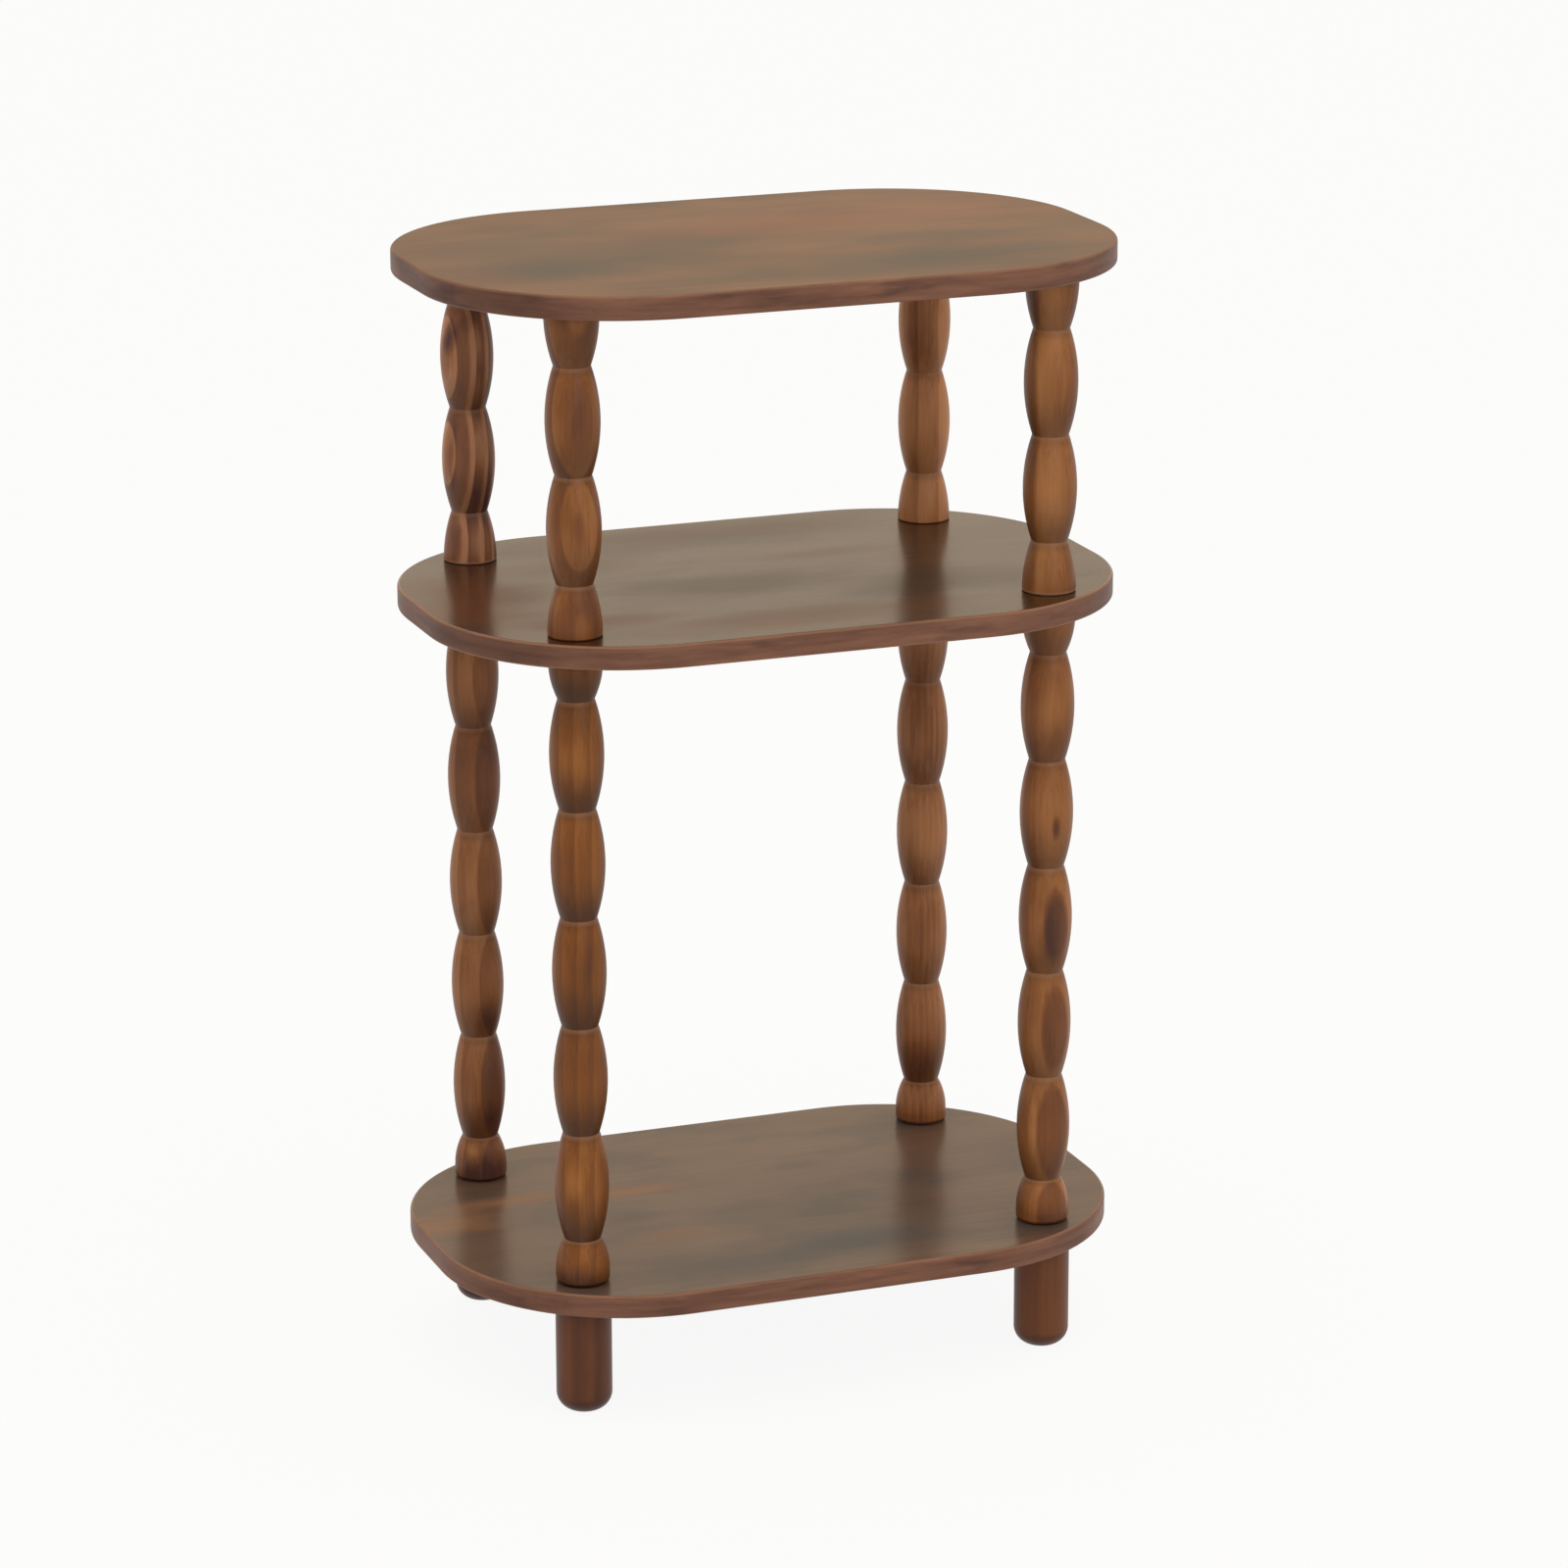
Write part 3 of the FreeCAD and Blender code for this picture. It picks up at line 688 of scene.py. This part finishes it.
def turned_wood(node, stops, settings, seed):
    """Lacquered turned wood with the rings of one piece."""
    layout = {**RING_DEFAULTS, **RING_LAYOUT[node]}
    low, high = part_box(node)
    centre = (low + high) / 2
    material, nodes, shader = new_material(f"{node}_wood")
    distance, spacing, waver = millimetres(layout["distance"], layout["spacing"], layout["waver"])
    inputs = {
        "Axis X": centre.x,
        "Axis Y": centre.y,
        "Base Height": low.z,
        "Heart Angle": math.radians(layout["angle"]),
        "Heart Distance": distance,
        "Ring Spacing": spacing,
        "Waver": waver,
        "Seed": seed,
    }
    for part in ("phase", "lean", "sweep", "edge", "fall", "flat"):
        inputs[part.capitalize()] = layout[part]
    rings = nodes.group(shared("turned_ring_figure", ring_effect), inputs).outputs
    fibres = nodes.group(shared("wood_fibres", fibre_effect), {"Stretch": TURNED_FIBRES, "Seed": seed}).outputs
    figure = 0.5 + layout["tint"]
    for part, strength in (
        (rings["Ring"], layout["rings"]),
        (rings["Ring Tone"], layout["rings"] * RING_TONE_SHARE),
        (rings["Cloud"], CLOUD_STRENGTH),
        (rings["Streak"], layout["streaks"]),
        (fibres["Fibre"], TURNED_FIBRE_STRENGTH),
    ):
        figure = nodes.sway(figure, part, strength)
    for number, (turn, height, across, up, strength) in enumerate(MARKS.get(node, ())):
        way = Vector((math.cos(math.radians(turn)), math.sin(math.radians(turn)), 0.0))
        spot = Vector((centre.x, centre.y, low.z + height / 1000)) + MARK_RADIUS * way
        mark = nodes.group(shared("soft_patch", patch_effect), {
            "Centre": spot,
            "Reach": millimetres(across, across, up),
            "Wave Scale": MARK_WAVE_SCALE,
            "Waver": MARK_WAVER,
            "Seed": seed + number,
        }).outputs[0]
        figure = nodes.math("MULTIPLY_ADD", mark, -strength, figure)
    gain, warmth = layout["gain"], layout["warmth"]
    stain = (gain, *(gain * (1 - taken * warmth) for taken in WARMTH_TAKES))
    shade = nodes.scaled(nodes.ramp(figure, stops), stain)
    # Painted shade, with some stain gathered there, darkens the necks
    neck_stain_and_shade = nodes.fade(rings["Radius"], *NECK_RADIUS, 0.0, settings.neck_stain_and_shade)
    # Painted shade on the beads' undersides, with some gathered stain, in the same dark colour
    pooled_stain_and_shade = nodes.math("MULTIPLY", rings["Underside"], settings.pooled_stain_and_shade * layout["pooled_shade_share"])
    shade = nodes.mix(nodes.math("MAXIMUM", neck_stain_and_shade, pooled_stain_and_shade), shade, STAIN_AND_SHADE)
    # Painted highlight on the beads' shoulders, just below each neck
    shoulder_highlight = nodes.math("MULTIPLY", rings["Shoulder"], settings.shoulder_highlight)
    # Painted highlight that makes the lower rim paler
    rim = nodes.math("MULTIPLY", rings["Rim Highlight"], layout["rim"])
    shade = nodes.mix(nodes.math("MAXIMUM", shoulder_highlight, rim), shade, PAINTED_HIGHLIGHT)
    shade = nodes.mix(nodes.math("MULTIPLY", fibres["Pore"], TURNED_PORE_STRENGTH), shade, PORE_STAIN)
    roughness = nodes.sway(settings.roughness, fibres["Fibre"], TURNED_SPREAD)
    finish_surface(nodes, shader, shade, roughness, fibres["Fibre"], TURNED_RELIEF)
    shader.inputs["Specular IOR Level"].default_value = TURNED_SPECULAR
    return material


def shelf_wood(node, settings, seed):
    """Lacquered board: clouded stain and grain along X on its faces, banded grain round its edge."""
    finish = SHELF_FINISH[node]
    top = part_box(node)[1].z
    material, nodes, shader = new_material(f"{node}_wood")
    place = nodes.place()
    fibres = nodes.group(shared("wood_fibres", fibre_effect), {"Stretch": BOARD_FIBRES, "Seed": seed}).outputs

    # Plain stained wood, as on the underside
    bands = nodes.noise(nodes.scaled(place, BAND_SCALE), seed)
    along, lines_in_spacing, through = LINE_SCALE
    line_scale = (along, lines_in_spacing / settings.grain_spacing, through)
    lines = nodes.noise(nodes.scaled(place, line_scale), seed + LINE_SEED)
    figure = nodes.sway(bands, lines, LINE_STRENGTH)
    figure = nodes.sway(figure, fibres["Fibre"], BOARD_FIBRE_STRENGTH)
    brown = nodes.ramp(figure, [(0.2, settings.dark), (0.8, settings.light)])

    # Clouded upper face, and its sheen
    mottle_x, mottle_y, mottle_roughness, wave_y, waver = between(CRISP_CLOUDS, SOFT_CLOUDS, finish["soft"])
    mottle_place = nodes.scaled(place, (mottle_x, mottle_y, MOTTLE_SCALE_Z))
    mottle = nodes.noise(mottle_place, seed + MOTTLE_SEED, detail=3.0, roughness=mottle_roughness)
    cloud = Vector(settings.cloud) * Vector(finish["stain"])
    warm = Vector(settings.warm) * Vector(finish["warm_stain"])
    face = nodes.scaled(brown, finish["stain"])
    face = nodes.mix(nodes.fade(mottle, *MOTTLE_SHOWS, 0.0, MOTTLE_STRENGTH), face, cloud)
    sheen = nodes.fade(mottle, *MOTTLE_DULLS, 1.0, finish["dulled"])
    patch = shared("soft_patch", patch_effect)
    for patches, shade, loss in (
        (DARK_PATCHES[node], cloud, DARK_LOSS),
        (WARM_PATCHES[node], warm, WARM_LOSS),
    ):
        for number, (x, y, reach_x, reach_y, strength) in enumerate(patches):
            mask = nodes.group(patch, {
                "Centre": (*millimetres(x, y), top),
                "Reach": (*millimetres(reach_x, reach_y), 1.0),
                "Wave Scale": (PATCH_WAVE_X, wave_y, PATCH_WAVE_Z),
                "Waver": waver,
                "Seed": seed + number,
            }).outputs[0]
            mask = nodes.math("MULTIPLY", mask, strength)
            face = nodes.mix(mask, face, shade)
            sheen = nodes.math("MULTIPLY", sheen, nodes.math("MULTIPLY_ADD", mask, -loss, 1.0))

    # Edge all round, with painted shade towards either end
    edge_figure = nodes.noise(nodes.scaled(place, EDGE_SCALE), seed + EDGE_SEED, detail=3.0, roughness=0.6)
    edge = nodes.ramp(edge_figure, [(0.24, settings.edge_dark), (0.76, settings.edge_light)])
    flecks = nodes.noise(nodes.scaled(place, FLECK_SCALE), seed + FLECK_SEED, detail=3.0)
    edge = nodes.mix(nodes.fade(flecks, *FLECKS_SHOW, 0.0, FLECK_STRENGTH), edge, EDGE_FLECK)
    out = nodes.math("ABSOLUTE", nodes.split(place)[0])
    # Painted shade where the edge turns away round each end
    edge = nodes.scaled(edge, nodes.fade(out, *EDGE_END_SHADE, 1.0, finish["ends"]))

    # Each where it belongs, with the line of wear and painted highlight between face and edge
    facing = nodes.facing()
    rise = nodes.math("ABSOLUTE", facing)
    under = nodes.fade(facing, *BOARD_UNDERSIDE)
    face = nodes.mix(under, face, brown)
    sheen = nodes.math("MULTIPLY", nodes.math("SUBTRACT", 1.0, under), sheen)
    shade = nodes.mix(nodes.fade(rise, *FLAT_FACE), edge, face)
    # Wear and a painted highlight lighten the eased edge
    edge_wear_and_highlight = nodes.math("MULTIPLY", nodes.fade(rise, *WEAR_HIGHLIGHT_BELOW), nodes.fade(rise, *WEAR_HIGHLIGHT_ABOVE))
    wear_and_highlight = finish["wear_and_highlight"]
    edge_wear_and_highlight = nodes.math("MULTIPLY", edge_wear_and_highlight, nodes.fade(edge_figure, *WEAR_HIGHLIGHT_SHOWS, LEAST_WEAR_HIGHLIGHT * wear_and_highlight, wear_and_highlight))
    shade = nodes.mix(edge_wear_and_highlight, shade, settings.arris_wear_and_highlight)
    shade = nodes.mix(nodes.math("MULTIPLY", fibres["Pore"], BOARD_PORE_STRENGTH), shade, PORE_STAIN)
    roughness = nodes.sway(settings.roughness, fibres["Fibre"], BOARD_SPREAD)
    finish_surface(nodes, shader, shade, roughness, fibres["Fibre"], BOARD_RELIEF)
    more = nodes.math("MULTIPLY_ADD", sheen, finish["lacquer"], -EDGE_LACQUER)
    lacquer = nodes.math("MULTIPLY_ADD", nodes.fade(rise, *LACQUERED), more, EDGE_LACQUER)
    nodes.feed(shader.inputs["Coat Weight"], lacquer)
    shader.inputs["Coat Roughness"].default_value = finish["lacquer_roughness"]
    shader.inputs["Specular IOR Level"].default_value = BARE_SPECULAR
    return material


def metal(name, shade, roughness, seed):
    """Turned metal with fine tool lines round the piece."""
    material, nodes, shader = new_material(name)
    effect = shared("wood_fibres", fibre_effect)
    lines = nodes.group(effect, {"Stretch": METAL_LINES, "Seed": seed}).outputs["Fibre"]
    shade = nodes.mix(nodes.math("MULTIPLY", lines, TOOL_LINE_STRENGTH), shade, TOOL_LINE)
    roughness = nodes.math("MULTIPLY_ADD", lines, METAL_SPREAD, roughness)
    finish_surface(nodes, shader, shade, roughness, lines, METAL_RELIEF)
    shader.inputs["Metallic"].default_value = 1.0
    return material


def spindle_stops(settings):
    """Ramp of the spindles' wood."""
    return [(0.1, settings.dark), (0.5, settings.middle), (0.9, settings.light)]


def dress_posts(kind, stops, settings):
    """Give one kind of turned piece its wood, at every post."""
    for number, post in enumerate(POSTS):
        node = f"{post}_{kind}"
        dress(node, turned_wood(node, stops, settings, FIRST_SEED[kind] + POST_SEED_STEP * number))


class STORAGETABLE_OT_shelves(bpy.types.Operator):
    """Stain and lacquer the three shelves"""

    bl_idname = "storage_table.shelves"
    bl_label = "Shelves"

    def execute(self, context):
        settings = context.scene.storage_table.shelf
        for number, node in enumerate(SHELF_FINISH):
            dress(node, shelf_wood(node, settings, FIRST_SEED["shelf"] + SHELF_SEED_STEP * number))
        return {"FINISHED"}


class STORAGETABLE_OT_upper_spindles(bpy.types.Operator):
    """Stain and lacquer the four upper spindles"""

    bl_idname = "storage_table.upper_spindles"
    bl_label = "Upper spindles"

    def execute(self, context):
        settings = context.scene.storage_table.turned
        dress_posts("upper_spindle", spindle_stops(settings), settings)
        return {"FINISHED"}


class STORAGETABLE_OT_lower_spindles(bpy.types.Operator):
    """Stain and lacquer the four lower spindles"""

    bl_idname = "storage_table.lower_spindles"
    bl_label = "Lower spindles"

    def execute(self, context):
        settings = context.scene.storage_table.turned
        dress_posts("lower_spindle", spindle_stops(settings), settings)
        return {"FINISHED"}


class STORAGETABLE_OT_feet(bpy.types.Operator):
    """Stain and lacquer the four feet"""

    bl_idname = "storage_table.feet"
    bl_label = "Feet"

    def execute(self, context):
        settings = context.scene.storage_table.turned
        dress_posts("foot", [(0.15, settings.foot_dark), (0.85, settings.foot_light)], settings)
        return {"FINISHED"}


class STORAGETABLE_OT_hardware(bpy.types.Operator):
    """Plate the studs and finish the insert nuts"""

    bl_idname = "storage_table.hardware"
    bl_label = "Studs and insert nuts"

    def execute(self, context):
        settings = context.scene.storage_table.hardware
        steel = metal("zinc_plated_steel", settings.steel, STEEL_ROUGHNESS, FIRST_SEED["stud"])
        brass = metal("plain_brass", settings.brass, BRASS_ROUGHNESS, FIRST_SEED["nut"])
        for level in ("top", "middle", "bottom"):
            dress(f"{level}_joint_studs", steel)
            dress(f"{level}_insert_nuts", brass)
        return {"FINISHED"}


def floor_mesh(reach):
    """Round floor that rises in a cove at its rim."""
    flat, sides = 1 - COVE_RADIUS, FLOOR_SIDES
    profile = [(FLOOR_RING, 0.0), (flat, 0.0)]
    for step in range(1, COVE_STEPS + 1):
        turn = math.radians(90 * step / COVE_STEPS)
        profile.append((flat + COVE_RADIUS * math.sin(turn), COVE_RADIUS * (1 - math.cos(turn))))
    profile.append((1.0, FLOOR_RIM))
    points = [(0, 0, 0)]
    for radius, height in profile:
        for side in range(sides):
            turn = math.tau * side / sides
            points.append((reach * radius * math.cos(turn), reach * radius * math.sin(turn), reach * height))
    faces = [(0, 1 + side, 1 + (side + 1) % sides) for side in range(sides)]
    for ring in range(len(profile) - 1):
        for side in range(sides):
            low, after = 1 + ring * sides + side, 1 + ring * sides + (side + 1) % sides
            faces.append((low, low + sides, after + sides, after))
    mesh = bpy.data.meshes.new("floor")
    mesh.from_pydata(points, [], faces)
    mesh.shade_smooth()
    return mesh


def floor_material(settings):
    """Pale floor that shows white, keeps a faint shadow and is clear from below, so the underside shows."""
    material = bpy.data.materials.new("pale_floor")
    material.use_nodes = True
    material.node_tree.nodes.clear()
    nodes = NodeTree(material.node_tree)
    paint = nodes.add("ShaderNodeBsdfDiffuse", {"Color": settings.floor})
    white = nodes.add("ShaderNodeEmission", {"Strength": 1.0})
    path = nodes.add("ShaderNodeLightPath").outputs
    seen = nodes.math("MAXIMUM", path["Is Camera Ray"], path["Is Glossy Ray"])
    seen = nodes.math("MAXIMUM", seen, path["Is Transmission Ray"])
    share = nodes.math("MULTIPLY", seen, 1 - settings.shadow)
    surface = nodes.add("ShaderNodeMixShader", {0: share, 1: paint.outputs[0], 2: white.outputs[0]})
    below = nodes.add("ShaderNodeNewGeometry").outputs["Backfacing"]
    clear = nodes.add("ShaderNodeBsdfTransparent")
    surface = nodes.add("ShaderNodeMixShader", {0: below, 1: surface.outputs[0], 2: clear.outputs[0]})
    nodes.add("ShaderNodeOutputMaterial", {"Surface": surface.outputs[0]})
    return material


def lay_floor(settings):
    """Floor of the stage."""
    mesh = floor_mesh(settings.floor_reach)
    mesh.materials.append(floor_material(settings))
    floor = bpy.data.objects.new("floor", mesh)
    bpy.context.scene.collection.objects.link(floor)


def light_world(settings):
    """Soft light from all round, stronger from above, that looks white."""
    world = bpy.data.worlds.new("studio")
    bpy.context.scene.world = world
    world.use_nodes = True
    world.node_tree.nodes.clear()
    nodes = NodeTree(world.node_tree)
    up = nodes.split(nodes.add("ShaderNodeTexCoord").outputs["Generated"])[2]
    level = nodes.fade(up, *SKY_RISE, *(settings.surround * share for share in SKY_SHARES))
    path = nodes.add("ShaderNodeLightPath").outputs
    shown = nodes.math("MAXIMUM", path["Is Camera Ray"], path["Is Transmission Ray"])
    white = nodes.math("MAXIMUM", shown, path["Is Glossy Ray"])
    strength = nodes.math("ADD", nodes.math("MULTIPLY", nodes.math("SUBTRACT", 1.0, white), level), white)
    shade = nodes.mix(path["Is Glossy Ray"], settings.sky, settings.gleam)
    shade = nodes.mix(shown, shade, (1, 1, 1))
    light = nodes.add("ShaderNodeBackground", {"Color": shade, "Strength": strength})
    nodes.add("ShaderNodeOutputWorld", {"Surface": light.outputs[0]})


def hang_lamp(name, power, size, place, aim):
    """Square area lamp that faces a point."""
    data = bpy.data.lights.new(name, "AREA")
    data.energy = power
    data.size = size
    lamp = bpy.data.objects.new(name, data)
    lamp.location = place
    lamp.rotation_euler = (Vector(aim) - Vector(place)).to_track_quat("-Z", "Y").to_euler()
    bpy.context.scene.collection.objects.link(lamp)


def set_camera(azimuth, elevation, roll, distance, middle, across, up, lens, sensor, clip_end):
    """Camera that looks at a point across and up from the table's middle."""
    back = Vector((
        math.sin(azimuth) * math.cos(elevation),
        -math.cos(azimuth) * math.cos(elevation),
        math.sin(elevation),
    ))
    level = (-back).cross(Vector((0, 0, 1))).normalized()
    upright = level.cross(-back)
    right = math.cos(roll) * level + math.sin(roll) * upright
    above = -math.sin(roll) * level + math.cos(roll) * upright
    aim = Vector(middle) + across * right + up * above
    turned = Matrix((right, above, back)).transposed().to_4x4()
    data = bpy.data.cameras.new("camera")
    data.sensor_width = sensor
    data.lens = lens
    data.clip_end = clip_end
    camera = bpy.data.objects.new("camera", data)
    camera.matrix_world = Matrix.Translation(aim + distance * back) @ turned
    bpy.context.scene.collection.objects.link(camera)
    bpy.context.scene.camera = camera


class STORAGETABLE_OT_stage(bpy.types.Operator):
    """Lay the floor, hang the lamps and set the camera"""

    bl_idname = "storage_table.stage"
    bl_label = "Stage"

    def execute(self, context):
        settings = context.scene.storage_table.stage
        lay_floor(settings)
        light_world(settings)
        hang_lamp("front_lamp", settings.front, **FRONT_LAMP)
        hang_lamp("top_lamp", settings.top, **TOP_LAMP)
        set_camera(**CAMERA)
        context.scene.view_settings.view_transform = "Standard"
        return {"FINISHED"}


OPERATORS = (
    STORAGETABLE_OT_shelves,
    STORAGETABLE_OT_upper_spindles,
    STORAGETABLE_OT_lower_spindles,
    STORAGETABLE_OT_feet,
    STORAGETABLE_OT_hardware,
    STORAGETABLE_OT_stage,
)


class STORAGETABLE_PT_panel(bpy.types.Panel):
    """Storage table's pieces and settings"""

    bl_idname = "STORAGETABLE_PT_panel"
    bl_label = "Storage table"
    bl_space_type = "VIEW_3D"
    bl_region_type = "UI"
    bl_category = "Storage table"

    def draw(self, context):
        layout = self.layout
        for operator in OPERATORS:
            layout.operator(operator.bl_idname)
        table = context.scene.storage_table
        for group in (table.turned, table.shelf, table.hardware, table.stage):
            box = layout.box()
            for name in group.__annotations__:
                box.prop(group, name)


CLASSES = (
    TurnedWoodSettings,
    ShelfWoodSettings,
    HardwareSettings,
    StageSettings,
    StorageTableSettings,
    *OPERATORS,
    STORAGETABLE_PT_panel,
)


def register():
    """Add the settings, operators and panel."""
    for cls in CLASSES:
        bpy.utils.register_class(cls)
    bpy.types.Scene.storage_table = bpy.props.PointerProperty(type=StorageTableSettings)


def unregister():
    """Take them away again."""
    del bpy.types.Scene.storage_table
    for cls in reversed(CLASSES):
        bpy.utils.unregister_class(cls)


def main():
    """Register the panel, dress the table and set up its stage."""
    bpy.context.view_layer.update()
    register()
    steps = bpy.ops.storage_table
    steps.shelves()
    steps.upper_spindles()
    steps.lower_spindles()
    steps.feet()
    steps.hardware()
    steps.stage()


if __name__ == "__main__":
    main()
